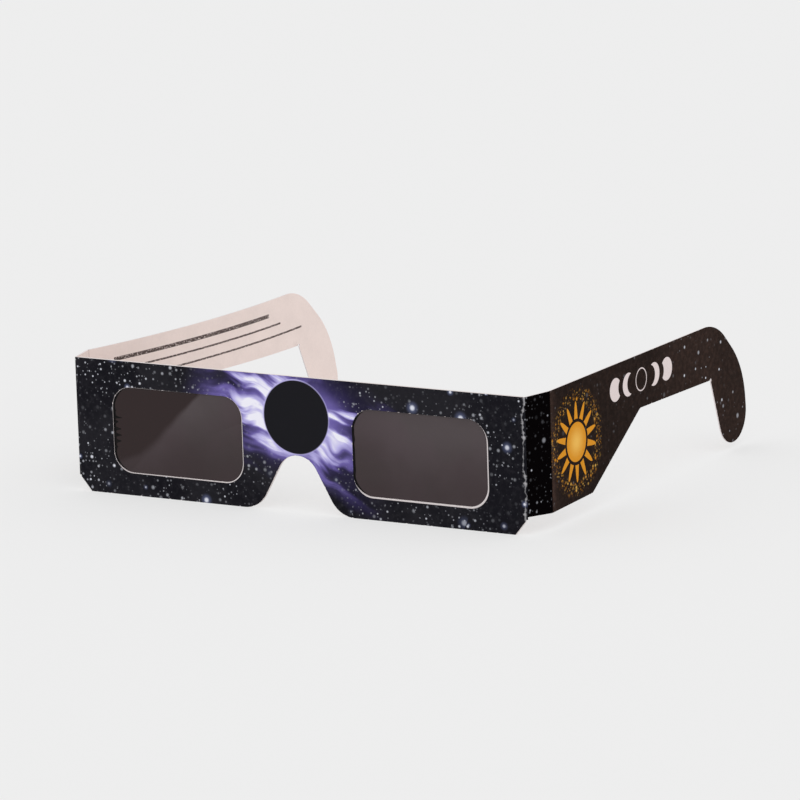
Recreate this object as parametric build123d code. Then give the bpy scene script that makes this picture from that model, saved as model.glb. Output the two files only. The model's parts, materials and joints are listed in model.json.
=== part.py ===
"""Folding card glasses with dark filter films, for watching a solar eclipse.

The front is a sandwich: a printed outer card, two filter films lying in an adhesive layer, and a
liner card behind. On each side the outer card runs on past the front as a narrow return and then
a temple with an ear hook. An upright scored crease joins the front to the return, and a second
one joins the return to the temple, so either crease, or both, can be folded.

Frame: the origin is on the outer face of the front, at the middle of its lower edge. +Z is up,
+Y runs back towards the wearer and +X points to the wearer's left. Lengths are in millimetres
and angles in degrees.
"""
import os
from math import cos, degrees, radians, sin, tan

from build123d import *

# Card and film
card_thickness = 0.45
film_thickness = 0.12  # also that of the adhesive layer around the films

# Front, measured between its two creases
front_width = 150.8
card_height = 40.0
corner_cut_width = 3.9
corner_cut_height = 4.7

# Card left around the windows
window_margin = 12.4  # between a window and the crease beside it
bridge_width = 37.2  # between the two windows
window_sill = 6.8  # below the windows
window_brow = 7.7  # above the windows
window_radius = 6.3

# Nose arch
nose_height = 16.8
nose_top_radius = 7.0
nose_flank_angle = 29.4  # of each flank from the vertical
nose_flare_radius = 8.5

# Filter films and liner
film_overlap = 3.5  # how far a film reaches behind the card around its window
film_slack = 0.3  # between a film and the adhesive around it
liner_inset = 0.8  # the liner stops short of the crease, so that one card folds there

# Scored creases
crease_land = 0.4  # flat width of the pressed line before its rounded ridge
fold_clearance = 0.05
fold_limit_angle = 95.0  # the furthest that a crease folds from flat

# Return, between the two creases of a side
return_width = 10.3
return_rise = 5.4  # its lower edge at the front crease, above the card's lower edge
temple_rise = 4.75  # its lower edge, and the temple's, at the temple crease

# Temple, from its crease to its end
temple_length = 122.4
cheek_length = 24.4
cheek_rise = 5.4  # of its lower edge where the slanted step begins
cheek_radius = 1.2
slant_length = 30.2
arm_height = 15.8  # after the slanted step
arm_radius = 1.6

# Ear hook, from the throat under the arm to the temple's end
hook_length = 22.7
throat_height = 16.5  # of the arm above the throat
throat_nick_radius = 0.5
hook_top_radius = 19.7
hook_back_radius = 26.0
hook_tip_radius = 8.8
# Corners where the hook's edges would meet unrounded, by their distance from the temple's end
# and their share of the card's height. The tip's edges draw together slowly, so their corner
# lies beyond the end and far below the card.
hook_top_setback = 18.4
hook_back_setback = 1.1
hook_back_share = 0.597
hook_tip_reach = 6.1
hook_tip_share = -1.42

# Outward curl that the right temple has taken, about lines that lean as they rise
curl_start = 14.0  # from the crease to the bend, along the card's lower edge
curl_radius = 300.0
curl_lean_angle = 19.3  # of those lines from the vertical, towards the crease

# The most of an edge that its two rounded corners may take
rounded_share = 0.98

# How far each crease is folded from flat as the glasses stand
left_front_angle = 76.6
left_temple_angle = 14.1
right_front_angle = 76.6
right_temple_angle = 28.7

# Worked out from the sizes above
half_front = front_width / 2
window_width = half_front - bridge_width / 2 - window_margin
window_height = card_height - window_sill - window_brow
arm_start = cheek_length + slant_length
arm_rise = card_height - arm_height
throat_place = temple_length - hook_length
throat_rise = card_height - throat_height
mid_card = card_thickness / 2
film_front = card_thickness
liner_front = card_thickness + film_thickness
fold_gap = mid_card * tan(radians(fold_limit_angle / 2)) + fold_clearance


def sheet(outline, outer_face, thickness):
    """Cut a sheet to an outline in X and Z, with its outer face at the given Y."""
    return extrude(Plane.XZ.offset(-outer_face) * outline, -thickness)


def rounded(corners, radii):
    """Make a face with rounded corners, eased where two of them would meet on an edge."""
    points = [Vector(*corner) for corner in corners]
    radii = list(radii)

    def setback(corner):
        before, here, after = (points[(corner + step) % len(points)] for step in (-1, 0, 1))
        return radii[corner] / tan(radians((before - here).get_angle(after - here)) / 2)

    for start in range(len(points)):
        end = (start + 1) % len(points)
        room = (points[end] - points[start]).length * rounded_share
        taken = setback(start) + setback(end)
        if taken > room:
            radii[start] *= room / taken
            radii[end] *= room / taken
    return make_face(FilletPolyline(*points, radius=radii, close=True))


def reflected(points):
    """Return points across the middle of the front from those given."""
    return [(-x, z) for x, z in points]


def nose_arch():
    """Return the space for the nose, flared at the lower edge and rounded at its top."""
    lean = radians(nose_flank_angle)
    peak = nose_height + nose_top_radius * (1 / sin(lean) - 1)
    foot = peak * tan(lean)
    edge = foot + nose_flare_radius
    half = [(edge, -nose_flare_radius), (edge, 0), (foot, 0)]
    corners = [*half, (0, peak), *reversed(reflected(half))]
    return rounded(corners, [0, 0, nose_flare_radius, nose_top_radius, nose_flare_radius, 0, 0])


def front_outline(inset):
    """Return the front's outline with its upright sides drawn in from the creases."""
    side = half_front - inset
    side_foot = corner_cut_height * (1 - inset / corner_cut_width)
    half = [(half_front - corner_cut_width, 0), (side, side_foot), (side, card_height)]
    outline = make_face(Polyline(*half, *reversed(reflected(half)), close=True))
    return outline - nose_arch()


def at_windows(shape):
    """Repeat a flat shape at the centres of the two windows."""
    across = (bridge_width + window_width) / 2
    middle = window_sill + window_height / 2
    return [Pos(side * across, middle) * shape for side in (-1, 1)]


def film_outline(growth):
    """Return the outline of one filter film, grown on every side."""
    reach = 2 * (film_overlap + growth)
    return Rectangle(window_width + reach, window_height + reach)


def holed_card(inset):
    """Return the outline of a card of the front, with its window holes."""
    return front_outline(inset) - at_windows(
        RectangleRounded(window_width, window_height, window_radius)
    )


def return_outline():
    """Return the outline of the panel between two creases, from the front crease outwards."""
    end = return_width - crease_land
    return make_face(
        Polyline(
            (fold_gap, return_rise),
            (end, temple_rise),
            (end, card_height),
            (fold_gap, card_height),
            close=True,
        )
    )


def temple_outline(seen):
    """Return a temple's outline: deep cheek, slanted step, slim arm and ear hook.

    seen gives the place of each corner as it is seen square to the panel at the crease.
    """
    throat = (throat_place, throat_rise)
    narrowing = (seen(temple_length, throat_rise)[0] - seen(*throat)[0]) / hook_length
    points = [
        (fold_gap, temple_rise),
        (cheek_length, cheek_rise),
        (arm_start, arm_rise),
        throat,
        (temple_length + hook_tip_reach, card_height * hook_tip_share),
        (temple_length - hook_back_setback, card_height * hook_back_share),
        (temple_length - hook_top_setback, card_height),
        (fold_gap, card_height),
    ]
    radii = [
        0,
        cheek_radius,
        arm_radius,
        0,
        hook_tip_radius * narrowing,
        hook_back_radius * narrowing,
        hook_top_radius * narrowing,
        0,
    ]
    outline = rounded([seen(along, up) for along, up in points], radii)
    return outline - Pos(*seen(*throat)) * Circle(throat_nick_radius)


def flat_temple():
    """Make a temple that lies flat in its own plane."""
    outline = temple_outline(lambda along, up: (along, up))
    return sheet(outline, -mid_card, card_thickness)


def curled_temple():
    """Make a temple that curls outwards beyond its cheek, with its sizes kept along the card."""
    lean = tan(radians(curl_lean_angle))

    def seen(along, up):
        bent = max(0, along - curl_start + up * lean)
        return along - bent + curl_radius * sin(bent / curl_radius), up

    sweep = -degrees(temple_length / curl_radius)
    outer = JernArc((curl_start, -mid_card), (1, 0), curl_radius - mid_card, sweep)
    inner = JernArc((curl_start, mid_card), (1, 0), curl_radius + mid_card, sweep)
    flat = Polyline(outer @ 0, (0, -mid_card), (0, mid_card), inner @ 0)
    section = make_face(flat + inner + Line(inner @ 1, outer @ 1) + outer)
    slope = (-lean, 0, 1)
    wall = extrude(section, card_height * Vector(slope).length, dir=slope)
    depth = curl_radius * (1 - cos(temple_length / curl_radius)) + card_thickness
    return wall & sheet(temple_outline(seen), -depth, 2 * depth)


def crease(lower_edge):
    """Make a scored crease: a pressed flat land that ends in a round ridge on the fold line."""
    land = Pos(-crease_land / 2, 0) * Rectangle(crease_land, card_thickness)
    ridge = Circle(mid_card)
    return Pos(0, 0, lower_edge) * extrude(land + ridge, card_height - lower_edge)


def side_panels(front_angle, temple_angle, temple):
    """Make the folding pieces of the side on +X at the given folds, with its temple."""
    front_line = Pos(half_front, mid_card)
    return_place = front_line * Rot(0, 0, front_angle)
    temple_line = return_place * Pos(return_width, 0)
    temple_place = temple_line * Rot(0, 0, temple_angle)
    return {
        "front_crease": front_line * crease(corner_cut_height),
        "return": return_place * sheet(return_outline(), -mid_card, card_thickness),
        "temple_crease": temple_line * crease(temple_rise),
        "temple": temple_place * temple,
    }


def front_pieces():
    """Make the layers of the front, from the outer card to the liner."""
    adhesive = front_outline(liner_inset) - at_windows(film_outline(film_slack))
    right_film, left_film = at_windows(film_outline(0))
    return {
        "outer_card": sheet(holed_card(crease_land), 0, card_thickness),
        "adhesive_layer": sheet(adhesive, film_front, film_thickness),
        "left_film": sheet(left_film, film_front, film_thickness),
        "right_film": sheet(right_film, film_front, film_thickness),
        "liner_card": sheet(holed_card(liner_inset), liner_front, card_thickness),
    }


def all_pieces():
    """Make every piece of the glasses, by name."""
    pieces = front_pieces()
    left_side = side_panels(left_front_angle, left_temple_angle, flat_temple())
    right_side = side_panels(right_front_angle, right_temple_angle, curled_temple())
    for name, piece in left_side.items():
        pieces["left_" + name] = piece
    for name, piece in right_side.items():
        pieces["right_" + name] = mirror(piece, Plane.YZ)
    return pieces


os.makedirs("parts", exist_ok=True)
for node, piece in all_pieces().items():
    export_step(piece, f"parts/{node}.step")
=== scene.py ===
"""Dresses the packed model of folding card eclipse glasses and sets up its studio."""

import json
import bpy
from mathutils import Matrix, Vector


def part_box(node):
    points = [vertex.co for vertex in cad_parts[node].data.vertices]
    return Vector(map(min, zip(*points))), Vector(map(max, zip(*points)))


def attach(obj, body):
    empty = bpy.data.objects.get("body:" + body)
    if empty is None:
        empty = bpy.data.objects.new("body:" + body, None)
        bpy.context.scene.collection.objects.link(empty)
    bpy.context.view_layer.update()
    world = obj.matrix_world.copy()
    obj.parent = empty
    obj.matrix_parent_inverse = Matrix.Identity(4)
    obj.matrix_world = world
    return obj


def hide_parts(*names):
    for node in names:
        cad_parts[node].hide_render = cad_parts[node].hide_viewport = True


bl_info = {
    "name": "Card Eclipse Glasses",
    "version": (1, 0, 0),
    "blender": (4, 5, 0),
    "location": "3D View > Sidebar > Card Glasses",
    "description": "Printed card, filter films, cracked creases and a studio for card glasses",
    "category": "Object",
}

from collections import namedtuple
from functools import partial, reduce
from math import atan2, cos, pi, radians, sin, sqrt

import bmesh
import bpy
from bpy.props import FloatProperty, FloatVectorProperty, IntProperty, PointerProperty
from bpy.types import NodeSocket, Operator, Panel, PropertyGroup
from mathutils import Matrix, Vector, noise

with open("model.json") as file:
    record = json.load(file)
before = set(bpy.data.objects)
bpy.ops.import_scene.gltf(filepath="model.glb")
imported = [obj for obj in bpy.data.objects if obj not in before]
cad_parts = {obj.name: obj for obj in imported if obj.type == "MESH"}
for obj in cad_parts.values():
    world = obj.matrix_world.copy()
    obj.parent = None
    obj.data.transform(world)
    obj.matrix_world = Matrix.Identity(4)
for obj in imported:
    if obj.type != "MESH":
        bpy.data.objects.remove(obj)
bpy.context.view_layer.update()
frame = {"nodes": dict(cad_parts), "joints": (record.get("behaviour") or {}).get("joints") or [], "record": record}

NODES = frame["nodes"]
BODIES = frame["record"]["behaviour"]["bodies"]
JOINTS = {joint["name"]: joint for joint in frame["joints"]}
SIDES = ("left", "right")
FRONT = Vector((0, -1, 0))


# Sizes and colours


def property_kind(kind, **fixed):
    """Return a call that makes a property of one kind from its name, description and default."""
    return lambda name, description, default, **limits: kind(
        name=name, description=description, default=default, **fixed, **limits
    )


length = property_kind(FloatProperty, unit="LENGTH", precision=5)
angle = property_kind(FloatProperty, subtype="ANGLE")
share = property_kind(FloatProperty, min=0, max=1, subtype="FACTOR")
number = property_kind(FloatProperty)
whole = property_kind(IntProperty)
colour = property_kind(FloatVectorProperty, min=0, max=1, subtype="COLOR")
coordinates = property_kind(FloatVectorProperty, subtype="TRANSLATION")


class CardSettings(PropertyGroup):
    """Plain card, where no ink covers it."""

    plain: colour("Plain card", "Uncoated card inside the glasses", (0.87, 0.74, 0.695))
    edge: colour("Cut edge", "Freshly cut card along every outline", (0.84, 0.77, 0.77))
    seam: colour("Ply seam", "Where one ply of the card meets the next", (0.52, 0.45, 0.43))
    plies: whole("Plies", "Layers that the card is made of", 3)
    mottle: share("Mottle", "Unevenness of the plain card's colour", 0.10)
    rim: length("Crushed rim", "Width of the rim that the cutting die presses down", 0.00024)
    crush: length("Crush depth", "How far the cutting die presses that rim down", 0.00006)
    rule: colour("Rule", "Ink of the rules inside a temple", (0.085, 0.060, 0.055))
    rule_start: length("Rule start", "From the temple's crease to the rules", 0.010)
    rule_height: length("Rule height", "Height of the heavy top rule", 0.0355)
    rule_gap: length("Rule gap", "From one rule down to the next", 0.0033)


class InkSettings(PropertyGroup):
    """Black printed faces and their stars. The returns and temples carry the front's black ink, painted darker on
    the returns as shade and lighter and browner on the temples as sheen.
    """

    front: colour("Front ink", "Ink of the front", (0.0068, 0.0065, 0.0098))
    front_patch: colour("Front patch", "Ink where it looks greyer", (0.0168, 0.0161, 0.0203))
    # Painted shade: the return ink is the front's black ink, painted darker
    side: colour("Return ink", "Ink of the returns", (0.0014, 0.0007, 0.0010))
    # Painted sheen: the temple ink is the front's black ink, painted lighter and browner
    temple: colour("Temple ink", "Ink of the temples", (0.0215, 0.0122, 0.0095))
    star: colour("Star", "Ink-free spots of the night sky", (0.80, 0.82, 0.90))
    halo: colour("Star halo", "Light round the largest stars", (0.11, 0.13, 0.24))
    star_spacing: length("Star spacing", "From one small star to the next", 0.0026)
    star_radius: length("Star radius", "Radius of the largest small star", 0.00084)


class GlowSettings(PropertyGroup):
    """Cloud of light that crosses the bridge, and the dark disc before it."""

    deep: colour("Deep glow", "Faintest part of the cloud", (0.030, 0.022, 0.085))
    mid: colour("Middle glow", "Body of the cloud", (0.150, 0.115, 0.380))
    pale: colour("Pale glow", "Inner wisps of the cloud", (0.520, 0.480, 0.830))
    white: colour("White glow", "Brightest wisps", (0.900, 0.890, 0.980))
    slant: angle("Slant", "Of the cloud from the level", radians(-17))
    reach: length("Reach", "Half the length of the cloud", 0.040)
    spread: length("Spread", "Half the height of the cloud", 0.020)
    sway: length("Sway", "How widely the cloud winds about its middle line", 0.018)
    disc: colour("Disc", "Ink of the dark disc", (0.0112, 0.0110, 0.0138))
    disc_height: length("Disc height", "Middle of the dark disc above the lower edge", 0.0281)
    disc_radius: length("Disc radius", "Radius of the dark disc", 0.011)
    disc_ring: length("Ring width", "Width of the light ring round the dark disc", 0.00032)


class WindowSettings(PropertyGroup):
    """White margin that the print leaves round each window, partly a painted highlight at its sill, and the
    painted shade on each window's upright edge.
    """

    width: length("Window width", "Width of the cut window", 0.0444)
    height: length("Window height", "Height of the cut window", 0.0255)
    radius: length("Window radius", "Corner radius of the cut window", 0.0063)
    margin: length("Margin", "How far the print stops short of the window", 0.000095)
    # The shifts, stretch and tilt below make the bare margin partly a painted highlight, widest at the sills
    shift_across: length("Shift across", "How far the print lies off to the side", 0.00016)
    shift_down: length("Shift down", "How far the print lies too low", 0.00021)
    stretch: share("Stretch", "How much wider the print came out than the cut sheet", 0.0020)
    tilt: share("Tilt", "How much lower the print lies, for each length to the left", 0.0029)
    bare: colour("Bare margin", "Card that the print leaves bare there", (0.71, 0.65, 0.65))
    # Painted shade: the dark colour of a window's upright cut edge
    edge: colour("Window edge", "Upright cut edge, pressed dark", (0.010, 0.009, 0.010))


class MotifSettings(PropertyGroup):
    """Sun and phases printed on each temple."""

    gold: colour("Gold", "Ink of the sun", (0.730, 0.300, 0.022))
    light_gold: colour("Light gold", "Middle of the sun", (0.900, 0.520, 0.110))
    pale: colour("Pale print", "Ink of the row of phases", (0.800, 0.700, 0.690))
    sun_place: length("Sun place", "From the crease to the middle of the sun", 0.0152)
    sun_height: length("Sun height", "Middle of the sun above the lower edge", 0.0222)
    sun_radius: length("Sun radius", "Radius of the sun's disc", 0.0058)
    ray_radius: length("Ray radius", "Where the sun's longest rays end", 0.0118)
    phase_place: length("Phase place", "From the crease to the middle phase", 0.0555)
    phase_height: length("Phase height", "Middle of the phases above the lower edge", 0.0325)
    phase_pitch: length("Phase pitch", "From one phase to the next", 0.0080)
    phase_radius: length("Phase radius", "Radius of one phase", 0.0035)


class FilmSettings(PropertyGroup):
    """Dark filter films with a painted reflection on them, the adhesive round them, and a dark line shaped as
    crept glue that paints the shade beside each window.
    """

    dark: colour("Film", "Body of the film", (0.0175, 0.0062, 0.0064))
    # Painted reflection: these colours lighten the film where a reflection shows in it
    reflection_colour: colour("Haze", "Film where a faint haze lies on it", (0.0720, 0.0520, 0.0580))
    grey: colour("Grey haze", "Haze where it looks greyer", (0.0640, 0.0535, 0.0535))
    wave: length("Wave", "Most that a film can bulge between the cards", 0.00009)
    adhesive: colour("Adhesive", "Dried adhesive between the cards", (0.62, 0.56, 0.45))
    streak: colour("Streak", "That adhesive where it lies thicker", (0.42, 0.36, 0.28))
    # Painted shade: a dark line on the films beside each window's edge, shaped as crept glue
    glue: colour("Crept glue", "Glue out beside a window", (0.0065, 0.0058, 0.0062))
    pale_glue_shade: colour("Pale glue", "That glue where it is thinner", (0.0130, 0.0110, 0.0110))
    glue_shade_width: length("Glue width", "Width of the line of glue", 0.00068)
    glue_shade_depth: length("Glue depth", "Thickness of the line of glue", 0.00002)
    glue_shade_reach: length("Glue reach", "How far its marks reach out on the right film", 0.0022)
    glue_shade_pitch: length("Glue pitch", "From one mark to the next", 0.0018)


class CreaseSettings(PropertyGroup):
    """Card fibres that stand out where the ink has cracked."""

    fibre: colour("Fibre", "Bare fibre in the crack", (0.56, 0.55, 0.57))
    count: whole("Fibres", "Tufts along one crease", 110, min=2)
    size: length("Tuft size", "Length of the largest tuft", 0.00060)
    setback: length("Setback", "From the fold to the crack's middle line", 0.00006)
    tuft_setback: length("Tuft setback", "From the fold to the tufts' middle line", 0.00068)
    tuft_inset: length("Tuft inset", "From a crease's ends to the first and last tuft", 0.0006)
    tuft_depth: length("Tuft depth", "How far the tufts are sunk into the card", 0.00002)
    width: length("Crack width", "Half the widest gape of the crack", 0.00085)
    wander: length("Wander", "How far the crack strays from its line", 0.00062)
    right_share: share("Right share", "How much the right crease is cracked, to the left", 0.12)
    seed: whole("Seed", "Start of the random numbers", 4)


class StudioSettings(PropertyGroup):
    """Camera, lamp and floor."""

    azimuth: angle("Azimuth", "Camera's turn from straight ahead", radians(30.89))
    elevation: angle("Elevation", "Camera's height as an angle", radians(11.97))
    roll: angle("Roll", "Camera's lean", radians(-1.84))
    distance: length("Distance", "Camera to its target", 1.69)
    target: coordinates("Target", "Point that the camera looks at", (0.035, 0.0, 0.036))
    lens: number("Lens", "Focal length in millimetres", 267.75)
    backdrop: colour("Backdrop", "Floor and surroundings", (0.855, 0.855, 0.855))
    evenness: share("Evenness", "How far the floor hides its shadows from the camera", 0.65)
    floor: length("Floor", "Half the width of the floor", 4.0)
    drop: length("Floor drop", "How far the floor lies below the glasses", 0.00002)
    fill: number("Fill", "Light from all around", 0.80)
    key: number("Key", "Strength of the wide lamp", 0.75)
    lamp: coordinates("Lamp", "Where the lamp stands, turned to the origin", (0.45, -0.75, 1.2))
    softness: angle("Softness", "How wide the lamp looks from the floor", radians(50))


# Node trees


def opaque(value):
    """Return a colour property with full opacity, or an output as it is."""
    return value if isinstance(value, NodeSocket) else (*value[:3], 1.0)


class Tree:
    """A node tree, with short calls that add nodes and link them."""

    def __init__(self, tree):
        self.tree = tree

    def put(self, socket, value):
        """Link an output to a socket, or set the socket's own value."""
        if isinstance(value, NodeSocket):
            self.tree.links.new(value, socket)
        else:
            socket.default_value = value

    def add(self, kind, inputs=None, **settings):
        """Add a node with the given settings and inputs, by name or number."""
        node = self.tree.nodes.new(kind)
        for name, value in settings.items():
            setattr(node, name, value)
        for name, value in (inputs or {}).items():
            self.put(node.inputs[name], value)
        return node

    def math(self, operation, *values):
        """Add a math node and return its result."""
        return self.add("ShaderNodeMath", dict(enumerate(values)), operation=operation).outputs[0]

    def times(self, *values):
        """Return the product of several values."""
        return reduce(partial(self.math, "MULTIPLY"), values)

    def plus(self, *values):
        """Return the sum of several values."""
        return reduce(partial(self.math, "ADD"), values)

    def any_of(self, *masks):
        """Return the greatest of several masks."""
        return reduce(partial(self.math, "MAXIMUM"), masks)

    def scaled(self, value, factor, added):
        """Return a value times a factor, with another value added."""
        return self.math("MULTIPLY_ADD", value, factor, added)

    def off(self, value, middle):
        """Return how far a value lies from a middle, either way."""
        return self.math("ABSOLUTE", self.math("SUBTRACT", value, middle))

    def vector(self, operation, *values):
        """Add a vector math node and return its vector, or its value if it gives a length."""
        node = self.add("ShaderNodeVectorMath", dict(enumerate(values)), operation=operation)
        return node.outputs["Value" if operation in ("LENGTH", "DISTANCE") else "Vector"]

    def step(self, value, low, high, bottom=0.0, top=1.0):
        """Return a smooth step of a value from bottom at low to top at high."""
        inputs = dict(enumerate((value, low, high, bottom, top)))
        return self.add("ShaderNodeMapRange", inputs, interpolation_type="SMOOTHSTEP").outputs[0]

    def mix(self, amount, first, second, blend="MIX"):
        """Return a mix of two colours."""
        inputs = {0: amount, 6: opaque(first), 7: opaque(second)}
        return self.add("ShaderNodeMix", inputs, data_type="RGBA", blend_type=blend).outputs[2]

    def noise(self, place, scale, detail=2.0, roughness=0.5, dimensions="2D"):
        """Return noise with about the given number of waves to the metre."""
        inputs = {"Vector": place, "Scale": scale, "Detail": detail, "Roughness": roughness}
        return self.add("ShaderNodeTexNoise", inputs, noise_dimensions=dimensions).outputs[0]

    def split(self, place):
        """Return the three parts of a vector."""
        return self.add("ShaderNodeSeparateXYZ", {0: place}).outputs[:]

    def join(self, x, y=0.0):
        """Return a flat vector made of its parts."""
        return self.add("ShaderNodeCombineXYZ", {0: x, 1: y}).outputs[0]

    def turned(self, place, start, turn):
        """Return a place as measured from a start, on axes turned about the third one."""
        inputs = {"Vector": place, "Location": start, "Rotation": (0, 0, turn)}
        return self.add("ShaderNodeMapping", inputs, vector_type="TEXTURE").outputs[0]


class Finish(Tree):
    """The tree of a new material, with flat places along and up the sheet it is for."""

    def __init__(self, name, sheet=None):
        self.material = bpy.data.materials.new(name)
        self.material.use_nodes = True
        super().__init__(self.material.node_tree)
        self.place = self.add("ShaderNodeTexCoord").outputs["Object"]
        if sheet:
            self.along, _, self.up = self.split(self.turned(self.place, sheet.start, sheet.turn))
            self.flat = self.join(self.along, self.up)

    def attribute(self, name):
        """Return the number that the mesh holds for a point."""
        return self.add("ShaderNodeAttribute", attribute_name=name).outputs["Fac"]

    def grain(self, scale, detail=2.0, roughness=0.5):
        """Return noise that runs through the object."""
        return self.noise(self.place, scale, detail, roughness, "3D")

    def flecks(self, scale, detail=2.0, roughness=0.5):
        """Return noise that lies on the sheet."""
        return self.noise(self.flat, scale, detail, roughness)

    def layered(self, tone, *layers):
        """Return a colour with others laid over it, each by its own mask."""
        for mask, layer in layers:
            tone = self.mix(mask, tone, layer)
        return tone

    def surface(self, inputs, relief=None):
        """Set the shader's inputs by name, and its relief by strength, distance and height."""
        shader = self.tree.nodes["Principled BSDF"]
        for name, value in inputs.items():
            self.put(shader.inputs[name], value)
        if relief:
            bump = dict(zip(("Strength", "Distance", "Height"), relief))
            self.put(shader.inputs["Normal"], self.add("ShaderNodeBump", bump).outputs[0])
        return self.material


# Panels of the card

# One flat panel: where it starts, how it is turned about the upright, and which way it faces
Sheet = namedtuple("Sheet", "start turn outward")


def side_sheets(side):
    """Return the sheets of the return and the temple on one side."""
    front, temple = JOINTS[f"{side}_front_fold"], JOINTS[f"{side}_temple_fold"]
    hand = front["axis"][2]
    bend = -radians(front["range_deg"][0])
    sheets = []
    for joint, fold in ((front, bend), (temple, bend - radians(temple["range_deg"][0]))):
        across, back = hand * cos(fold), sin(fold)
        start = Vector((*joint["pos_m"][:2], 0))
        outward = Vector((hand * back, -cos(fold), 0))
        sheets.append(Sheet(start, atan2(back, across), outward))
    return sheets


SHEETS = {"front": Sheet(Vector(), 0.0, FRONT)}
for hand_side in SIDES:
    SHEETS[f"{hand_side}_return"], SHEETS[f"{hand_side}_temple"] = side_sheets(hand_side)


def film_box(side):
    """Return the corners of a film and its middle, which is the middle of its window."""
    low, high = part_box(f"{side}_film")
    return low, high, (low + high) / 2


def cracked_fold(side, crease, setback):
    """Return where a line beside a front fold lies, and how much that fold is cracked."""
    joint = JOINTS[f"{side}_front_fold"]
    cracked = crease.right_share if side == "right" else 1.0
    return joint["pos_m"][0] - joint["axis"][2] * setback, cracked


# Printed patterns

# Softness of a printed edge, of the row of phases and of a rule
PRINT_EDGE, PHASE_EDGE, RULE_EDGE = 0.00008, 0.00007, 0.00005
# Along a panel: where stars crowd at the front's right end, and where they thin out
CROWDED, SPARSE = (-0.030, -0.068), (0.052, 0.064)
# Along the front: where its ink darkens, and where stars fade in on both sides of its middle
DARKER, ASIDE = (0.050, 0.064), (0.010, 0.026)
# Along a temple: a painted highlight by the fold, a painted sheen that is lighter on the arm and darker on the
# hook, and where its stars begin
FOLD_HIGHLIGHT, ARM_SHEEN, HOOK_SHEEN, STARRY = (0.0045, 0.0005), (0.060, 0.076), (0.098, 0.110), (0.074, 0.086)
# The sun's rays: how many, and where they start for each length of the sun's radius
RAYS, RAY_START = 14, 1.16
# Spacing and radius of the coarse and the fine gold dust, and of the specks on a film
COARSE_DUST, FINE_DUST, SPECKS = (0.00150, 0.00086), (0.00090, 0.00056), (0.0031, 0.00012)
# Where each rule inside a temple ends, and half its thickness
RULES = ((0.083, 0.00056), (0.089, 0.00026), (0.101, 0.00026))
# Starts of the noise that a crack follows, and of the noise that widens it
PATH_SEED, GAPE_SEED = 0.3, 0.6


def spots(tree, spacing, radius, amount, offset, core=0.35):
    """Return round spots of random size, in a given share of the cells of an uneven grid."""
    inputs = {"Vector": tree.vector("ADD", tree.flat, (offset, offset, 0)), "Scale": 1 / spacing}
    cells = tree.add("ShaderNodeTexVoronoi", inputs, voronoi_dimensions="2D")
    luck = tree.add("ShaderNodeSeparateColor", {0: cells.outputs["Color"]}).outputs
    size = tree.scaled(tree.math("POWER", luck[0], 2.5), radius * 0.65, radius * 0.35)
    away = tree.times(cells.outputs["Distance"], spacing)
    spot = tree.step(tree.math("DIVIDE", away, size), 1.0, core)
    level = tree.scaled(tree.math("POWER", luck[2], 1.3), 0.72, 0.28)
    return tree.times(spot, level, tree.math("LESS_THAN", luck[1], amount))


def night_sky(tree, ink, thinning=1.0, bright=0.34):
    """Return how bright the stars are over a panel, and the halo round the largest.

    They crowd together in patches. More stand at the front's right end, and fewer at its left
    end and on the outer half of a temple.
    """
    right_end = tree.step(tree.along, *CROWDED, 0.0, 0.045)
    far_left = tree.step(tree.along, *SPARSE, 0.0, -0.07)
    patches = tree.plus(tree.flecks(62.0, 3.0), right_end, far_left)
    crowd = tree.step(patches, 0.40, 0.60, 0.10, 1.0)
    gap, most = ink.star_spacing, ink.star_radius
    dust = spots(tree, gap * 0.45, most * 0.6, 0.28 * thinning, 0.17, 0.0)
    small = spots(tree, gap, most, 0.9 * thinning, 0.31, 0.15)
    large = spots(tree, gap * 3.0, most * 1.4, bright, 0.53, 0.3)
    halo = spots(tree, gap * 3.0, most * 3.2, bright, 0.53, 0.0)
    faint = tree.times(tree.any_of(tree.times(dust, 0.55), small), crowd)
    return tree.any_of(faint, large), halo


def glow_cloud(tree, glow):
    """Return the colour of a cloud of light along a slanting band, and its strength."""
    middle = (0, glow.disc_height, 0)
    turned = tree.turned(tree.flat, middle, glow.slant)
    along, across, _ = tree.split(turned)
    sway = tree.math("SUBTRACT", tree.noise(turned, 38.0), 0.5)
    across = tree.scaled(sway, glow.sway, across)
    broad = tree.join(tree.times(along, 0.26), across)
    wisps = tree.step(tree.noise(broad, 150.0, 3.0), 0.40, 0.62)
    thin = tree.join(tree.times(along, 0.16), across)
    threads = tree.step(tree.noise(thin, 400.0, 4.0, 0.6), 0.38, 0.70)
    ends = tree.step(tree.math("ABSOLUTE", along), glow.reach, glow.reach * 0.2)
    sides = tree.step(tree.math("ABSOLUTE", across), glow.spread, glow.spread * 0.2)
    away = tree.vector("DISTANCE", tree.flat, middle)
    near = tree.step(away, glow.disc_radius * 2.0, glow.disc_radius, 0.0, 0.30)
    texture = tree.plus(tree.times(wisps, tree.scaled(threads, 0.45, 0.60)), near, 0.08)
    strength = tree.times(ends, sides, texture)
    ramp = tree.add("ShaderNodeValToRGB", {0: strength})
    stops = ramp.color_ramp.elements
    stops[0].color, stops[1].color = (0, 0, 0, 1), (*glow.white, 1)
    stops[1].position = 0.86
    for position, tone in ((0.12, glow.deep), (0.36, glow.mid), (0.62, glow.pale)):
        stops.new(position).color = (*tone, 1)
    return ramp.outputs[0], strength


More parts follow.
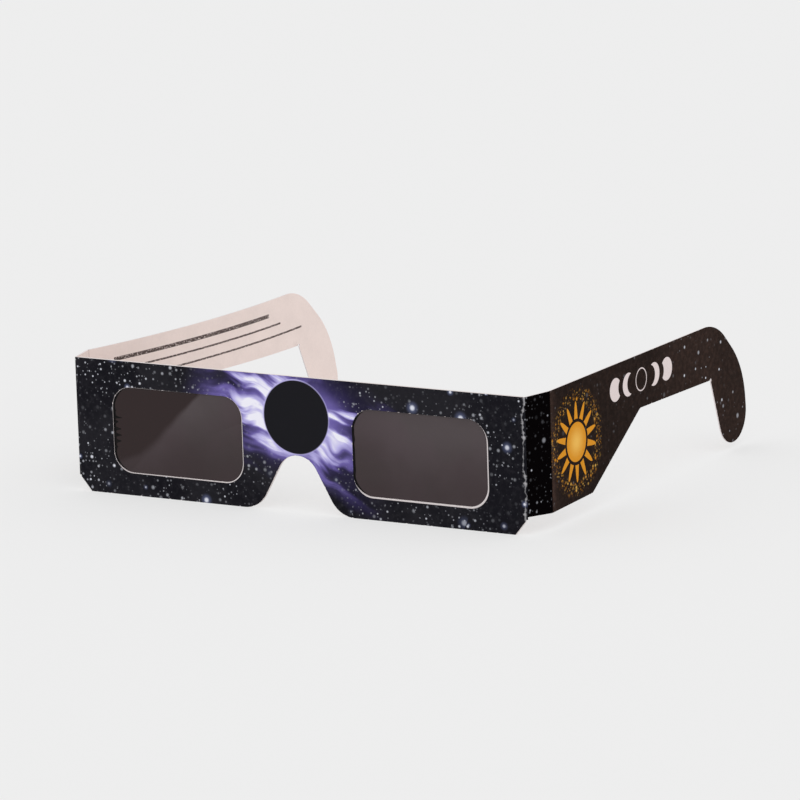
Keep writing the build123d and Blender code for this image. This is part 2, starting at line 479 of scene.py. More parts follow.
def margin_and_highlight(tree, window):
    """Return where the print stops short of the two windows, a little off to one side and low, so that the bare
    card is partly a painted highlight at the sills.
    """
    middle = film_box("left")[2]
    off = tree.scaled(tree.along, window.stretch, window.shift_across)
    drop = tree.scaled(tree.along, window.tilt, window.shift_down)
    placed = tree.join(tree.math("SUBTRACT", tree.along, off), tree.plus(tree.up, drop))
    place = tree.vector("SUBTRACT", tree.vector("ABSOLUTE", placed), (middle.x, middle.z, 0))
    straight = (window.width / 2 - window.radius, window.height / 2 - window.radius, 0)
    beyond = tree.vector("SUBTRACT", tree.vector("ABSOLUTE", place), straight)
    reach = tree.vector("LENGTH", tree.vector("MAXIMUM", beyond, (0, 0, 0)))
    edge = window.radius + window.margin
    return tree.step(reach, edge + PRINT_EDGE / 2, edge - PRINT_EDGE / 2)


def crack_path(tree, up, seed):
    """Return where a crack runs at each height, from about -1 to 1 across its strip."""
    sway = tree.noise(tree.join(up, seed), 165.0, 3.0, 0.55)
    return tree.times(tree.math("SUBTRACT", sway, 0.5), 5.0)


def crack_gape(tree, up, seed):
    """Return how wide a crack gapes at each height, from nought to one."""
    slow = tree.step(tree.noise(tree.join(up, seed), 110.0, 1.0), 0.36, 0.60, 0.45, 1.0)
    quick = tree.step(tree.noise(tree.join(up, seed), 900.0), 0.34, 0.72, 0.30, 1.0)
    return tree.times(slow, quick)


def cracked_line(tree, crease):
    """Return the crack in the ink that wanders up beside each fold of the front."""
    masks = []
    for order, side in enumerate(SIDES):
        line, cracked = cracked_fold(side, crease, crease.setback)
        path = tree.scaled(crack_path(tree, tree.up, PATH_SEED + order), crease.wander, line)
        gape = tree.times(crack_gape(tree, tree.up, GAPE_SEED + order), cracked)
        width = tree.math("MAXIMUM", tree.times(gape, crease.width), 1e-6)
        crack = tree.step(tree.math("DIVIDE", tree.off(tree.along, path), width), 1.0, 0.1)
        masks.append(tree.times(crack, tree.scaled(gape, 0.55, 0.20)))
    return tree.any_of(*masks)


def disc_and_ring(tree, glow):
    """Return the dark disc on the bridge and the thin ring of light round it."""
    away = tree.vector("DISTANCE", tree.flat, (0, glow.disc_height, 0))
    disc = tree.step(away, glow.disc_radius, glow.disc_radius - PRINT_EDGE)
    ring = tree.step(tree.off(away, glow.disc_radius), glow.disc_ring, glow.disc_ring * 0.2)
    return disc, tree.times(ring, tree.step(tree.flecks(60.0, 1.0), 0.35, 0.6, 0.50, 0.95))


def sun_motif(tree, motif):
    """Return a sun with pointed rays, its colour, and the gold dust round it."""
    offset = tree.vector("SUBTRACT", tree.flat, (motif.sun_place, motif.sun_height, 0))
    across, up, _ = tree.split(offset)
    away = tree.vector("LENGTH", offset)
    disc = tree.step(away, motif.sun_radius, motif.sun_radius - PRINT_EDGE)
    turn = tree.times(tree.math("ARCTAN2", up, across), RAYS / (2 * pi))
    wave = tree.math("PINGPONG", tree.plus(turn, 2.0 * RAYS), 0.5)
    start = motif.sun_radius * RAY_START
    tip = tree.step(tree.times(wave, 2.0), 0.25, 1.0, start, motif.ray_radius)
    inside, outside = tree.math("LESS_THAN", away, tip), tree.math("GREATER_THAN", away, start)
    tone = tree.mix(tree.step(away, motif.sun_radius, 0.0), motif.gold, motif.light_gold)
    near = tree.step(away, motif.ray_radius * 1.40, motif.ray_radius * 1.16)
    beyond = tree.step(away, motif.ray_radius * 0.92, motif.ray_radius * 1.02)
    coarse = spots(tree, *COARSE_DUST, 0.9, 0.77, 0.1)
    fine = tree.times(spots(tree, *FINE_DUST, 0.8, 0.41, 0.1), 0.5)
    dust = tree.times(tree.any_of(coarse, fine), near, beyond)
    return tree.any_of(disc, tree.times(inside, outside)), tone, dust


def phase_row(tree, motif):
    """Return the lit part of a row of five discs, covered more towards its middle, and the row."""
    middle = (motif.phase_place, motif.phase_height, 0)
    across, up, _ = tree.split(tree.vector("SUBTRACT", tree.flat, middle))
    phase = tree.math("ROUND", tree.math("DIVIDE", across, motif.phase_pitch))
    phase = tree.math("MINIMUM", tree.math("MAXIMUM", phase, -2.0), 2.0)
    local = tree.scaled(phase, -motif.phase_pitch, across)
    edge = motif.phase_radius
    away = tree.vector("LENGTH", tree.join(local, up))
    cover_side = tree.scaled(phase, edge * 0.70, local)
    cover_away = tree.vector("LENGTH", tree.join(cover_side, up))
    bright = tree.step(away, edge, edge - PHASE_EDGE)
    covered = tree.step(cover_away, edge * 0.90, edge * 0.90 - PHASE_EDGE)
    return tree.times(bright, tree.math("SUBTRACT", 1.0, covered)), bright


def uninked(tree):
    """Return the flecks where ink has flaked from the rim, and the inner half of a fold's ends."""
    limit = tree.step(tree.flecks(800.0, 3.0, 0.6), 0.52, 0.78)
    flaked = tree.step(tree.math("SUBTRACT", limit, tree.attribute("rim")), 0.05, 0.3)
    return tree.any_of(flaked, tree.step(tree.attribute("depth"), 0.45, 0.55))


def printed_finish(tree, tone, bare, index):
    """Give printed card its colour, flecks, varnish and the slight tooth of the card below."""
    inputs = {
        "Base Color": tree.mix(uninked(tree), tone, bare),
        "IOR": index,
        "Roughness": tree.step(tree.flecks(420.0, 3.0), 0.3, 0.7, 0.38, 0.50),
    }
    height = tree.scaled(tree.flecks(180.0), 4.0, tree.flecks(2600.0))
    return tree.surface(inputs, (0.35, 0.000012, height))


def front_print(settings):
    """Make the printed face of the front."""
    tree = Finish("front_print", SHEETS["front"])
    ink, glow = settings.card_ink, settings.card_glow
    crease, window = settings.card_crease, settings.card_window
    patches = tree.step(tree.flecks(44.0), 0.36, 0.64, 0.0, 0.85)
    patches = tree.times(patches, tree.step(tree.along, *DARKER, 1.0, 0.1))
    grain = tree.step(tree.flecks(620.0, 3.0, 0.6), 0.45, 0.70, 0.0, 0.65)
    tone = tree.mix(tree.plus(patches, grain), ink.front, ink.front_patch)
    cloud, strength = glow_cloud(tree, glow)
    tone = tree.mix(1.0, tone, cloud, "ADD")
    stars, halo = night_sky(tree, ink)
    aside = tree.step(tree.math("ABSOLUTE", tree.along), *ASIDE, 0.30, 1.0)
    stars = tree.times(stars, tree.step(strength, 0.45, 0.1, 0.15, 1.0), aside)
    disc, ring = disc_and_ring(tree, glow)
    tone = tree.layered(
        tree.mix(tree.times(halo, aside), tone, ink.halo, "SCREEN"),
        (stars, ink.star),
        (disc, glow.disc),
        (ring, glow.pale),
        (cracked_line(tree, crease), crease.fibre),
        # Bare margin round the windows, partly a painted highlight at their sills
        (margin_and_highlight(tree, window), window.bare),
    )
    return printed_finish(tree, tone, settings.card_card.edge, 1.12)


def return_print(settings, side):
    """Make the printed face of a return."""
    tree = Finish(f"{side}_return_print", SHEETS[f"{side}_return"])
    ink = settings.card_ink
    stars = tree.times(night_sky(tree, ink, 0.8)[0], 0.7)
    # The darker return ink here is painted shade
    tone = tree.mix(stars, ink.side, ink.star)
    return printed_finish(tree, tone, settings.card_card.edge, 1.04)


def temple_print(settings, side):
    """Make the printed face of a temple, with its sun and its row of phases."""
    tree = Finish(f"{side}_temple_print", SHEETS[f"{side}_temple"])
    ink, motif = settings.card_ink, settings.card_motif
    # Mottled ink with painted light on it: a painted highlight by the fold, and a painted sheen, lighter on the
    # arm and darker on the hook
    shade = tree.times(
        tree.step(tree.flecks(22.0), 0.3, 0.7, 0.88, 1.12),
        tree.step(tree.flecks(620.0, 3.0, 0.6), 0.40, 0.68, 0.85, 1.35),
        tree.step(tree.along, *FOLD_HIGHLIGHT, 1.0, 2.1),
        tree.step(tree.along, *ARM_SHEEN, 0.80, 1.34),
        tree.step(tree.along, *HOOK_SHEEN, 1.0, 0.84),
    )
    stars = night_sky(tree, ink, 0.22, 0.8)[0]
    lit, row = phase_row(tree, motif)
    clear = tree.times(tree.step(tree.along, *STARRY, 0.12, 1.0), tree.step(row, 1.0, 0.0))
    sun, gold, dust = sun_motif(tree, motif)
    sparkle = tree.step(tree.flecks(500.0, 1.0), 0.45, 0.60)
    # The temple ink is the front's black ink, painted lighter and browner as a sheen
    tone = tree.layered(
        tree.mix(1.0, ink.temple, shade, "MULTIPLY"),
        (tree.times(stars, clear), ink.star),
        (dust, tree.mix(sparkle, motif.gold, motif.light_gold)),
        (sun, gold),
        (lit, motif.pale),
    )
    return printed_finish(tree, tone, settings.card_card.edge, 1.06)


# Other finishes


def fibrous_finish(tree, tone, mottle):
    """Give uncoated card its mottled colour, stray fibres and matt, felted surface."""
    clouds, fine = tree.grain(120.0, 4.0, 0.6), tree.grain(1500.0, 3.0, 0.6)
    level = tree.plus(tree.times(clouds, 0.6), tree.times(fine, 0.4))
    level = tree.step(level, 0.3, 0.7, 1.0 - mottle * 0.5, 1.0 + mottle * 0.25)
    inputs = {
        "Base Color": tree.mix(1.0, tone, level, "MULTIPLY"),
        "Specular IOR Level": 0.2,
        "Roughness": tree.step(clouds, 0.3, 0.7, 0.82, 0.95),
    }
    return tree.surface(inputs, (0.4, 0.00003, tree.scaled(tree.grain(380.0, 3.0), 2.0, fine)))


def ruled_card(card, side):
    """Make the bare inner face of a temple, with three thin printed rules."""
    tree = Finish(f"{side}_ruled_card", SHEETS[f"{side}_temple"])
    past = tree.math("GREATER_THAN", tree.along, card.rule_start)
    rules = []
    for row, (end, half) in enumerate(RULES):
        away = tree.off(tree.up, card.rule_height - row * card.rule_gap)
        line = tree.step(away, half + RULE_EDGE, half)
        rules.append(tree.times(line, past, tree.math("LESS_THAN", tree.along, end)))
    worn = tree.step(tree.noise(tree.flat, 1800.0, dimensions="3D"), 0.25, 0.5)
    tone = tree.mix(tree.times(tree.any_of(*rules), worn), card.plain, card.rule)
    return fibrous_finish(tree, tone, card.mottle)


def cut_edge(settings, name, inked):
    """Make the cut edge of card, with its plies and, if it is printed, the lip of ink."""
    tree = Finish(name)
    card = settings.card_card
    depth = tree.plus(tree.attribute("depth"), tree.times(tree.grain(700.0), 0.2))
    ply = tree.math("PINGPONG", depth, 0.5 / card.plies)
    seam = tree.step(ply, 0.12 / card.plies, 0.0, 0.0, 0.55)
    tone = tree.mix(seam, card.edge, card.seam)
    if inked:
        tone = tree.mix(tree.step(depth, 0.24, 0.14, 0.0, 0.9), tone, settings.card_ink.front)
    return fibrous_finish(tree, tone, card.mottle * 1.4)


def window_edge_painted_shade(settings):
    """Make the upright cut edge of a window, smooth and painted dark as shade, but paler by its sill."""
    tree = Finish("window_edge_painted_shade")
    window = settings.card_window
    half, pale, paler = window.height / 2, 0.0006, 0.0030
    away = tree.off(tree.split(tree.place)[2], film_box("left")[2].z)
    # Dark painted shade on the upright edge, turning to the plain cut colour by the sill and top
    by_sill = tree.step(away, half - paler, half - pale)
    return fibrous_finish(tree, tree.mix(by_sill, window.edge, settings.card_card.edge), 0.4)


def adhesive_finish(film):
    """Make the dried adhesive between the two cards."""
    tree = Finish("dried_adhesive")
    streaks = tree.step(tree.grain(300.0, 3.0), 0.35, 0.7)
    inputs = {
        "Base Color": tree.mix(streaks, film.adhesive, film.streak),
        "Roughness": tree.step(streaks, 0.0, 1.0, 0.35, 0.6),
    }
    return tree.surface(inputs, (0.5, 0.00004, streaks))


def glue_shade_finish(film):
    """Make the dark, dull line beside a window, shaped as crept glue, which paints the shade on the film."""
    tree = Finish("crept_glue")
    patches = tree.step(tree.grain(900.0, 3.0), 0.35, 0.65)
    inputs = {
        "Base Color": tree.mix(patches, film.glue, film.pale_glue_shade),
        "Roughness": tree.step(patches, 0.0, 1.0, 0.55, 0.75),
        "Specular IOR Level": 0.08,
    }
    return tree.surface(inputs)


def reflection_band(tree, side):
    """Return where the painted reflection lies on the right film: beyond a slanting line, and in a streak."""
    lean, shift, waver, bleed = 1.12, 0.0056, 0.002, 0.0006
    sharp_top, soft_foot, foot = 0.0014, 0.0045, 0.006
    full, faded = 0.002, 0.024
    reflected_streak_lean, reflected_streak_start, reflected_streak_end = -0.37, 0.0338, 0.0312
    low, high, middle = film_box(side)
    slope = tree.scaled(tree.up, -lean, tree.along)
    start = middle.x - lean * middle.z - shift
    soft = tree.scaled(tree.flecks(90.0, 3.0), waver, slope)
    fade = tree.step(tree.up, high.z, low.z + foot, start + sharp_top, start + soft_foot)
    beyond_line = tree.step(soft, start - bleed, fade)
    away = tree.step(slope, start + full, start + faded, 1.0, 0.62)
    level = tree.scaled(tree.along, reflected_streak_lean, tree.up)
    reflected_streak = tree.step(level, reflected_streak_start, reflected_streak_end, 0.0, 0.75)
    return tree.any_of(tree.times(beyond_line, away), reflected_streak)


def film_finish(film, side):
    """Make one dark glossy film with a painted reflection on it, which leaves part of the right one dark."""
    tree = Finish(f"{side}_film_gloss", SHEETS["front"])
    low, high, middle = film_box(side)
    inset, before_middle = 0.004, 0.003
    # Painted reflection, brighter towards the top of a film and, on the left film, towards its middle
    rising = tree.step(tree.up, low.z + inset, high.z - inset, 0.46, 1.0)
    if side == "right":
        cover = reflection_band(tree, side)
    else:
        cover = tree.step(tree.along, low.x + inset, middle.x - before_middle, 0.76, 1.0)
    clouds = tree.flecks(60.0, 3.0)
    painted_reflection = tree.times(tree.step(clouds, 0.3, 0.7, 0.86, 1.06), rising, cover)
    specks = tree.times(spots(tree, *SPECKS, 0.35, 0.9), 0.35)
    greyer = tree.step(tree.flecks(48.0), 0.42, 0.66, 0.0, 0.45)
    reflection_tone = tree.mix(greyer, film.reflection_colour, film.grey)
    scratches = tree.noise(tree.vector("MULTIPLY", tree.flat, (1.0, 9.0, 1.0)), 260.0, 3.0)
    inputs = {
        "Base Color": tree.mix(tree.any_of(painted_reflection, specks), film.dark, reflection_tone),
        "IOR": 1.36,
        "Roughness": tree.step(painted_reflection, 0.0, 1.0, 0.07, 0.16),
    }
    return tree.surface(inputs, (0.12, 0.00003, tree.scaled(clouds, 3.0, scratches)))


def seen_directly(tree):
    """Return one for rays from the camera, from gloss and through glass, and nought for light."""
    seen = tree.add("ShaderNodeLightPath").outputs
    return tree.any_of(seen["Is Camera Ray"], seen["Is Glossy Ray"], seen["Is Transmission Ray"])


def backdrop_finish(studio):
    """Make the plain floor, pale to the camera and in gloss, which keeps a faint shadow."""
    tree = Finish("studio_floor")
    direct = seen_directly(tree)
    kept = [part * (1 - studio.evenness) for part in studio.backdrop]
    inputs = {
        "Base Color": tree.mix(direct, studio.backdrop, kept),
        "Emission Color": opaque(studio.backdrop),
        "Emission Strength": tree.times(direct, studio.evenness),
        "Roughness": 0.95,
        "Specular IOR Level": 0.0,
    }
    return tree.surface(inputs)


# Meshes

# Material slots of a card: its printed face, plain face, cut edge and a window's upright edge
INKED, PLAIN, CUT, WINDOW = range(4)
# Least share of a level edge's normal that points up or down
LEVEL = 0.9
# Least outward share of an inked face's normal, on a panel and on a crease's round ridge
FACING, RIDGE_FACING = 0.35, -0.5
# Backward share of the normals that make a point of a ridge count as behind
RIDGE_BACK = 0.45
# How near to a fold a point counts as beside it, and the depth that no window edge reaches
BESIDE_FOLD, BEHIND_FRONT = 0.0007, 0.002
# Numbers of faces: across and up a film, and up the dark line of painted shade
FILM_COLUMNS, FILM_ROWS, GLUE_SHADE_ROWS = 72, 46, 240
# Share of a window's height that has that line of painted shade beside it
GLUE_SHADE_SHARE = 0.94


def body_of(node):
    """Return the body that a CAD node rides on."""
    return next(body for body, nodes in BODIES.items() if node in nodes)


def add_object(name, data, materials=()):
    """Link a new object with its materials."""
    piece = bpy.data.objects.new(name, data)
    bpy.context.scene.collection.objects.link(piece)
    for material in materials:
        data.materials.append(material)
    return piece


def finished_mesh(piece):
    """Put the modified shape of an object into its mesh, and drop its modifiers."""
    shaped = bpy.data.meshes.new_from_object(
        piece.evaluated_get(bpy.context.evaluated_depsgraph_get())
    )
    piece.modifiers.clear()
    piece.data = shaped


def beside_fold(point):
    """Tell whether a point lies where the outer card runs on over a fold."""
    folds = (Vector(joint["pos_m"]).to_2d() for joint in JOINTS.values())
    return any((point.to_2d() - fold).length < BESIDE_FOLD for fold in folds)


def in_window(point):
    """Tell whether a point lies on the upright edge of a window."""
    low, high, _ = film_box("left")
    beside = low.x < abs(point.x) < high.x and low.z < point.z < high.z
    return beside and abs(point.y) < BEHIND_FRONT


def face_slot(face, outward, inked_from):
    """Return the material slot of a card's face, inked from the given outward share on."""
    facing = face.normal.dot(outward)
    if abs(face.normal.z) > LEVEL:
        return CUT
    folded = all(beside_fold(vertex.co) for vertex in face.verts)
    if facing > inked_from or (folded and facing > -FACING):
        return INKED
    if facing < -FACING:
        return PLAIN
    return WINDOW if in_window(face.calc_center_median()) else CUT


def card_mesh(node, outward, rim, crush):
    """Copy a card from the CAD node, with a pressed rim and its faces sorted by side.

    The ink runs on over a fold, so it also covers the round of a crease and the ends beside it.
    """
    ridge = node.endswith("crease")
    mesh = NODES[node].data.copy()
    mesh.materials.clear()
    shape = bmesh.new()
    shape.from_mesh(mesh)
    bmesh.ops.remove_doubles(shape, verts=shape.verts, dist=1e-7)
    mark = shape.verts.layers.float.new("rim")
    depth = shape.verts.layers.float.new("depth")
    for vertex in shape.verts:
        vertex[mark] = 1.0
        sides = [face.normal for face in vertex.link_faces if abs(face.normal.z) < LEVEL]
        facings = [side.dot(outward) for side in sides] or [0.0]
        behind = max(facings) < -RIDGE_BACK if ridge else min(facings) < -FACING
        vertex[depth] = 1.0 if behind else 0.0
    for face in shape.faces:
        face.material_index = face_slot(face, outward, RIDGE_FACING if ridge else FACING)
    if rim:
        printed = [face for face in shape.faces if face.normal.dot(outward) > FACING]
        ring = bmesh.ops.inset_region(
            shape, faces=printed, thickness=rim, use_boundary=True, use_even_offset=True
        )["faces"]
        inner = {vertex for face in printed for vertex in face.verts}
        for vertex in {vertex for face in ring for vertex in face.verts} - inner:
            if not beside_fold(vertex.co):
                vertex.co -= outward * crush
                vertex[mark] = 0.0
    shape.to_mesh(mesh)
    shape.free()
    mesh.shade_smooth()
    mesh.set_sharp_from_angle(angle=radians(20))
    return mesh


def add_card(node, name, outward, materials, slot, rim=0.0, crush=0.0):
    """Add the dressed card that stands for a CAD node."""
    piece = add_object(name, card_mesh(node, outward, rim, crush), materials)
    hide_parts(node)
    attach(piece, body_of(node))


def grid_mesh(name, rows):
    """Make a mesh of four-sided faces between rows of points."""
    shape = bmesh.new()
    rows = [[shape.verts.new(point) for point in row] for row in rows]
    for below, above in zip(rows, rows[1:]):
        for corner in zip(below, below[1:], above[1:], above):
            shape.faces.new(corner)
    mesh = bpy.data.meshes.new(name)
    shape.to_mesh(mesh)
    shape.free()
    return mesh


def freed(place, held, reach):
    """Return how free a film is, from nought where it is held to one in the open."""
    return max(0.0, min(1.0, (min(place, 1 - place) - held) / reach)) ** 2


def film_mesh(node, wave):
    """Make a thin film that is held flat between the cards and bulges in its window."""
    low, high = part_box(node)
    rows = []
    for row in range(FILM_ROWS + 1):
        up = row / FILM_ROWS
        height = low.z + up * (high.z - low.z)
        points = []
        for column in range(FILM_COLUMNS + 1):
            across = column / FILM_COLUMNS
            bulge = sin(across * 7.1 + up * 2.3) * 0.6 + sin(up * 8.3 - across * 4.7) * 0.4
            bulge *= freed(across, 0.10, 0.2) * freed(up, 0.14, 0.25)
            depth = (low.y + high.y) / 2 + wave * bulge
            points.append((low.x + across * (high.x - low.x), depth, height))
        rows.append(points)
    return grid_mesh(node, rows), high.y - low.y


def glue_shade_mesh(side, window, film):
    """Make the dark line of painted shade, shaped as crept glue, along one upright edge of a window.

    On the right film, marks reach out of it near the window's middle.
    """
    low, _, middle = film_box(side)
    straight = window.height / 2 - window.radius
    depth = low.y - film.glue_shade_depth / 2
    rows = []
    for row in range(GLUE_SHADE_ROWS + 1):
        up = (row / GLUE_SHADE_ROWS - 0.5) * (window.height * GLUE_SHADE_SHARE)
        turned = max(0.0, abs(up) - straight)
        edge = middle.x - window.width / 2 + window.radius - sqrt(window.radius**2 - turned**2)
        uneven = noise.noise(Vector((up / film.glue_shade_pitch, 0.5, 0.5)))
        reach = film.glue_shade_width * (0.85 + 0.35 * uneven)
        if side == "right":
            wave = 0.5 + 0.5 * cos(2 * pi * (up / film.glue_shade_pitch + 0.3 * uneven))
            fade = max(0.0, 1.0 - (up / (straight * 0.9)) ** 4)
            reach += film.glue_shade_reach * wave**2 * fade * (0.8 + 0.6 * uneven)
        rows.append([(x, depth, middle.z + up) for x in (edge, edge + reach)])
    return grid_mesh(f"{side}_glue", rows)


def give_thickness(piece, thickness):
    """Give a sheet its thickness, half to each side, and smooth it up to its edges."""
    wall = piece.modifiers.new("thickness", "SOLIDIFY")
    wall.thickness = thickness
    wall.offset = 0.0
    finished_mesh(piece)
    piece.data.shade_smooth()
    piece.data.set_sharp_from_angle(angle=radians(40))


# Geometry nodes

# Lowest and highest stray, turn and size of a tuft, which are drawn at random between them
STRAY = (-0.00008, -0.00001, -0.0001), (0.00008, 0.00001, 0.0001)
TURN = (-0.2, -0.6, -0.3), (0.2, 0.6, 0.3)
GROWTH = (0.12, 0.06, 0.25), (0.42, 0.16, 1.0)
# The tree's inputs, with the kind of each
TUFT_INPUTS = {
    "Geometry": "Geometry",
    "Start": "Vector",
    "End": "Vector",
    "Count": "Int",
    "Size": "Float",
    "Wander": "Float",
    "Path seed": "Float",
    "Seed": "Int",
    "Material": "Material",
}


def tuft_tree():
    """Build the tree that sets small tufts of fibre along a wandering line."""
    group = bpy.data.node_groups.new("crease_tufts", "GeometryNodeTree")
    for name, kind in TUFT_INPUTS.items():
        group.interface.new_socket(name, in_out="INPUT", socket_type=f"NodeSocket{kind}")
    group.interface.new_socket("Geometry", in_out="OUTPUT", socket_type="NodeSocketGeometry")
    tree = Tree(group)
    given = tree.add("NodeGroupInput").outputs

    def made(kind, **inputs):
        return tree.add(f"GeometryNode{kind}", inputs).outputs[0]

    def pick(low, high):
        inputs = {"Min": low, "Max": high, "Seed": given["Seed"]}
        node = tree.add("FunctionNodeRandomValue", inputs, data_type="FLOAT_VECTOR")
        return node.outputs["Value"]

    line = made("CurvePrimitiveLine", Start=given["Start"], End=given["End"])
    points = made("CurveToPoints", Curve=line, Count=given["Count"])
    up = tree.split(made("InputPosition"))[2]
    path = tree.times(crack_path(tree, up, given["Path seed"]), given["Wander"])
    gape = crack_gape(tree, up, tree.plus(given["Path seed"], GAPE_SEED - PATH_SEED))
    offset = tree.vector("ADD", tree.join(path), pick(*STRAY))
    points = made("SetPosition", Geometry=points, Offset=offset)
    tuft = made("MeshIcoSphere", Radius=0.5, Subdivisions=1)
    size = tree.vector("MULTIPLY", pick(*GROWTH), tree.times(gape, given["Size"]))
    tufts = made("InstanceOnPoints", Points=points, Instance=tuft, Rotation=pick(*TURN), Scale=size)
    real = made("RealizeInstances", Geometry=tufts)
    dressed = made("SetMaterial", Geometry=real, Material=given["Material"])
    tree.add("NodeGroupOutput", {"Geometry": dressed})
    return group


def shape_by_nodes(piece, group, values):
    """Run a geometry tree on a piece with the given named inputs."""
    modifier = piece.modifiers.new(group.name, "NODES")
    modifier.node_group = group
    for item in group.interface.items_tree:
        if item.in_out == "INPUT" and item.name in values:
            modifier[item.identifier] = values[item.name]
    finished_mesh(piece)


# Operators


class PieceOperator:
    """What every operator here shares."""

    bl_options = {"REGISTER", "UNDO"}


class GLASSES_OT_front_cards(PieceOperator, Operator):
    """Add the printed outer card and the plain liner card of the front"""

    bl_idname = "card_glasses.front_cards"
    bl_label = "Front Cards"

    def execute(self, context):
        settings = context.scene
        card = settings.card_card
        plain = fibrous_finish(Finish("bare_card"), card.plain, card.mottle)
        edge = cut_edge(settings, "inked_cut_edge", True)
        bare = cut_edge(settings, "bare_cut_edge", False)
        sides = (front_print(settings), plain, edge, window_edge_painted_shade(settings))
        add_card("outer_card", "front_card", FRONT, sides, "printed_card", card.rim, card.crush)
        for side in SIDES:
            add_card(f"{side}_front_crease", f"{side}_front_score", FRONT, sides[:3], "scored_card")
        liner = (plain, plain, bare, bare)
        add_card("liner_card", "inner_liner", -FRONT, liner, "plain_card", card.rim, card.crush)
        return {"FINISHED"}


class GLASSES_OT_side_cards(PieceOperator, Operator):
    """Add the returns and temples, with their second creases"""

    bl_idname = "card_glasses.side_cards"
    bl_label = "Side Cards"

    def execute(self, context):
        settings = context.scene
        card = settings.card_card
        plain, edge = (bpy.data.materials[name] for name in ("bare_card", "inked_cut_edge"))
        rim = (card.rim, card.crush)
        for side in SIDES:
            back, away = SHEETS[f"{side}_return"].outward, SHEETS[f"{side}_temple"].outward
            sides = (return_print(settings, side), plain, edge)
            add_card(f"{side}_return", f"{side}_return_card", back, sides, "printed_card", *rim)
            add_card(f"{side}_temple_crease", f"{side}_temple_score", back, sides, "scored_card")
            sides = (temple_print(settings, side), ruled_card(card, side), edge)
            add_card(f"{side}_temple", f"{side}_temple_card", away, sides, "printed_card", *rim)
        return {"FINISHED"}


class GLASSES_OT_films(PieceOperator, Operator):
    """Add the two filter films and the adhesive round them"""

    bl_idname = "card_glasses.films"
    bl_label = "Filter Films"

    def execute(self, context):
        film = context.scene.card_film
        for side in SIDES:
            node = f"{side}_film"
            mesh, thickness = film_mesh(node, film.wave)
            piece = add_object(f"{side}_filter_film", mesh, [film_finish(film, side)])
            give_thickness(piece, thickness)
            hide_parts(node)
            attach(piece, body_of(node))
        adhesive = adhesive_finish(film)
        for slot in NODES["adhesive_layer"].material_slots:
            slot.material = adhesive
        return {"FINISHED"}


class GLASSES_OT_glue_painted_shade(PieceOperator, Operator):
    """Add the dark lines of painted shade, shaped as crept glue, on the films beside the windows"""

    bl_idname = "card_glasses.crept_glue"
    bl_label = "Crept Glue"

    def execute(self, context):
        film, window = context.scene.card_film, context.scene.card_window
        finish = glue_shade_finish(film)
        for side in SIDES:
            piece = add_object(f"{side}_crept_glue", glue_shade_mesh(side, window, film), [finish])
            give_thickness(piece, film.glue_shade_depth)
            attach(piece, "front")
        return {"FINISHED"}


class GLASSES_OT_crease_tufts(PieceOperator, Operator):
    """Add the fibres that stand out along the cracked front creases"""

    bl_idname = "card_glasses.crease_tufts"
    bl_label = "Crease Fibres"

    def execute(self, context):
        crease = context.scene.card_crease
        group = tuft_tree()
        material = fibrous_finish(Finish("fibre_tufts"), crease.fibre, 0.5)
        for order, side in enumerate(SIDES):
            low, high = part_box(f"{side}_front_crease")
            line, cracked = cracked_fold(side, crease, crease.tuft_setback)
            piece = add_object(f"{side}_crease_tufts", bpy.data.meshes.new("tufts"))
            values = {
                "Start": (line, crease.tuft_depth, low.z + crease.tuft_inset),
                "End": (line, crease.tuft_depth, high.z - crease.tuft_inset),
                "Count": crease.count,
                "Size": crease.size * cracked,
                "Wander": crease.wander,
                "Path seed": PATH_SEED + order,
                "Seed": crease.seed + order,
                "Material": material,
            }
            shape_by_nodes(piece, group, values)
            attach(piece, "front")
        return {"FINISHED"}


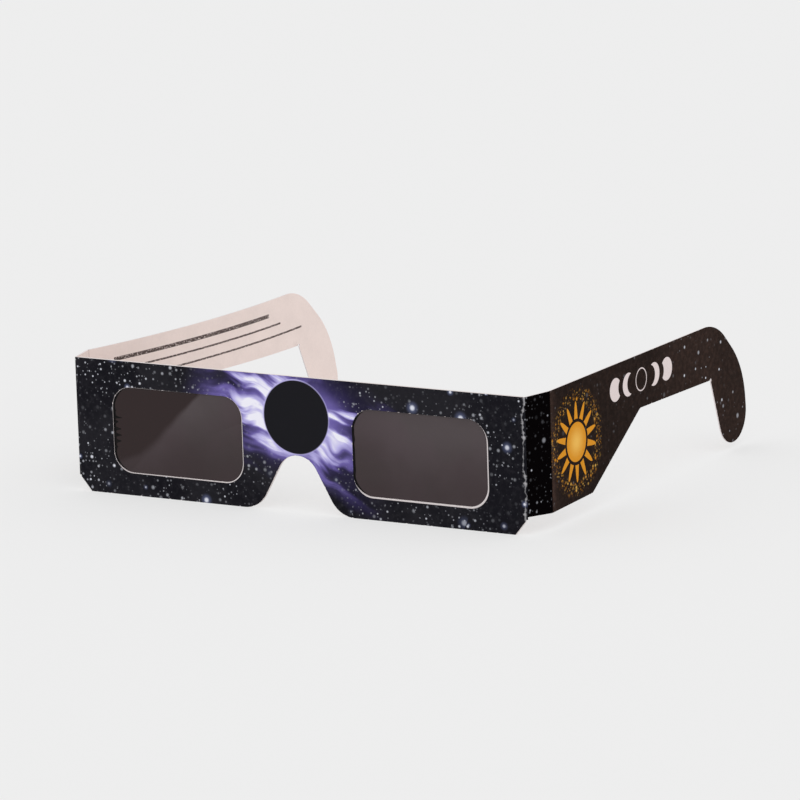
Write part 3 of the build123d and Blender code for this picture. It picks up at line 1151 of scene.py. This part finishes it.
class GLASSES_OT_studio(PieceOperator, Operator):
    """Add the floor, the lamp, the surroundings and the camera"""

    bl_idname = "card_glasses.studio"
    bl_label = "Studio"

    def execute(self, context):
        studio = context.scene.card_studio
        self.add_floor(studio)
        self.add_world(context, studio)
        self.add_lamp(studio)
        self.add_camera(context, studio)
        return {"FINISHED"}

    def add_floor(self, studio):
        """Add the floor that the glasses stand on."""
        ends = (-studio.floor, studio.floor)
        mesh = grid_mesh("studio_floor", [[(x, y, -studio.drop) for x in ends] for y in ends])
        add_object("studio_floor", mesh, [backdrop_finish(studio)])

    def add_world(self, context, studio):
        """Light the object evenly and show a pale backdrop behind it."""
        world = bpy.data.worlds.new("studio_surroundings")
        world.use_nodes = True
        context.scene.world = world
        tree = Tree(world.node_tree)
        tone = tree.mix(seen_directly(tree), [studio.fill] * 3, studio.backdrop)
        tree.put(world.node_tree.nodes["Background"].inputs["Color"], tone)

    def add_lamp(self, studio):
        """Add one wide, distant lamp, high in front of the glasses."""
        light = bpy.data.lights.new("wide_lamp", "SUN")
        light.energy, light.angle = studio.key, studio.softness
        lamp = add_object("wide_lamp", light)
        lamp.location = studio.lamp
        lamp.rotation_euler = (-lamp.location).to_track_quat("-Z", "Y").to_euler()

    def add_camera(self, context, studio):
        """Add the camera at the angle of the picture."""
        data = bpy.data.cameras.new("studio_camera")
        data.sensor_width, data.lens, data.clip_end = 36.0, studio.lens, 20.0
        camera = add_object("studio_camera", data)
        turns = (studio.azimuth, "Z"), (pi / 2 - studio.elevation, "X"), (studio.roll, "Z")
        matrix = Matrix.Translation(studio.target)
        for amount, axis in turns:
            matrix = matrix @ Matrix.Rotation(amount, 4, axis)
        camera.matrix_world = matrix @ Matrix.Translation((0, 0, studio.distance))
        context.scene.camera = camera
        context.scene.view_settings.view_transform = "Standard"


class GLASSES_PT_sidebar(Panel):
    """Settings and steps of the card glasses"""

    bl_idname = "GLASSES_PT_sidebar"
    bl_label = "Card Eclipse Glasses"
    bl_space_type = "VIEW_3D"
    bl_region_type = "UI"
    bl_category = "Card Glasses"

    def draw(self, context):
        layout = self.layout
        for operator in OPERATORS:
            layout.operator(operator.bl_idname)
        for name, kind in SETTINGS.items():
            box = layout.box()
            box.label(text=kind.__doc__)
            for key in kind.__annotations__:
                box.prop(getattr(context.scene, name), key)


SETTINGS = {
    "card_card": CardSettings,
    "card_ink": InkSettings,
    "card_glow": GlowSettings,
    "card_window": WindowSettings,
    "card_motif": MotifSettings,
    "card_film": FilmSettings,
    "card_crease": CreaseSettings,
    "card_studio": StudioSettings,
}
OPERATORS = (
    GLASSES_OT_front_cards,
    GLASSES_OT_side_cards,
    GLASSES_OT_films,
    GLASSES_OT_glue_painted_shade,
    GLASSES_OT_crease_tufts,
    GLASSES_OT_studio,
)
CLASSES = (*SETTINGS.values(), *OPERATORS, GLASSES_PT_sidebar)


def register():
    """Add the settings, the operators and the panel."""
    for kind in CLASSES:
        bpy.utils.register_class(kind)
    for name, kind in SETTINGS.items():
        setattr(bpy.types.Scene, name, PointerProperty(type=kind))


def unregister():
    """Take away the panel, the operators and the settings."""
    for name in SETTINGS:
        delattr(bpy.types.Scene, name)
    for kind in reversed(CLASSES):
        bpy.utils.unregister_class(kind)


def main():
    """Make every piece and the studio."""
    register()
    bpy.ops.card_glasses.front_cards()
    bpy.ops.card_glasses.side_cards()
    bpy.ops.card_glasses.films()
    bpy.ops.card_glasses.crept_glue()
    bpy.ops.card_glasses.crease_tufts()
    bpy.ops.card_glasses.studio()


if __name__ == "__main__":
    main()
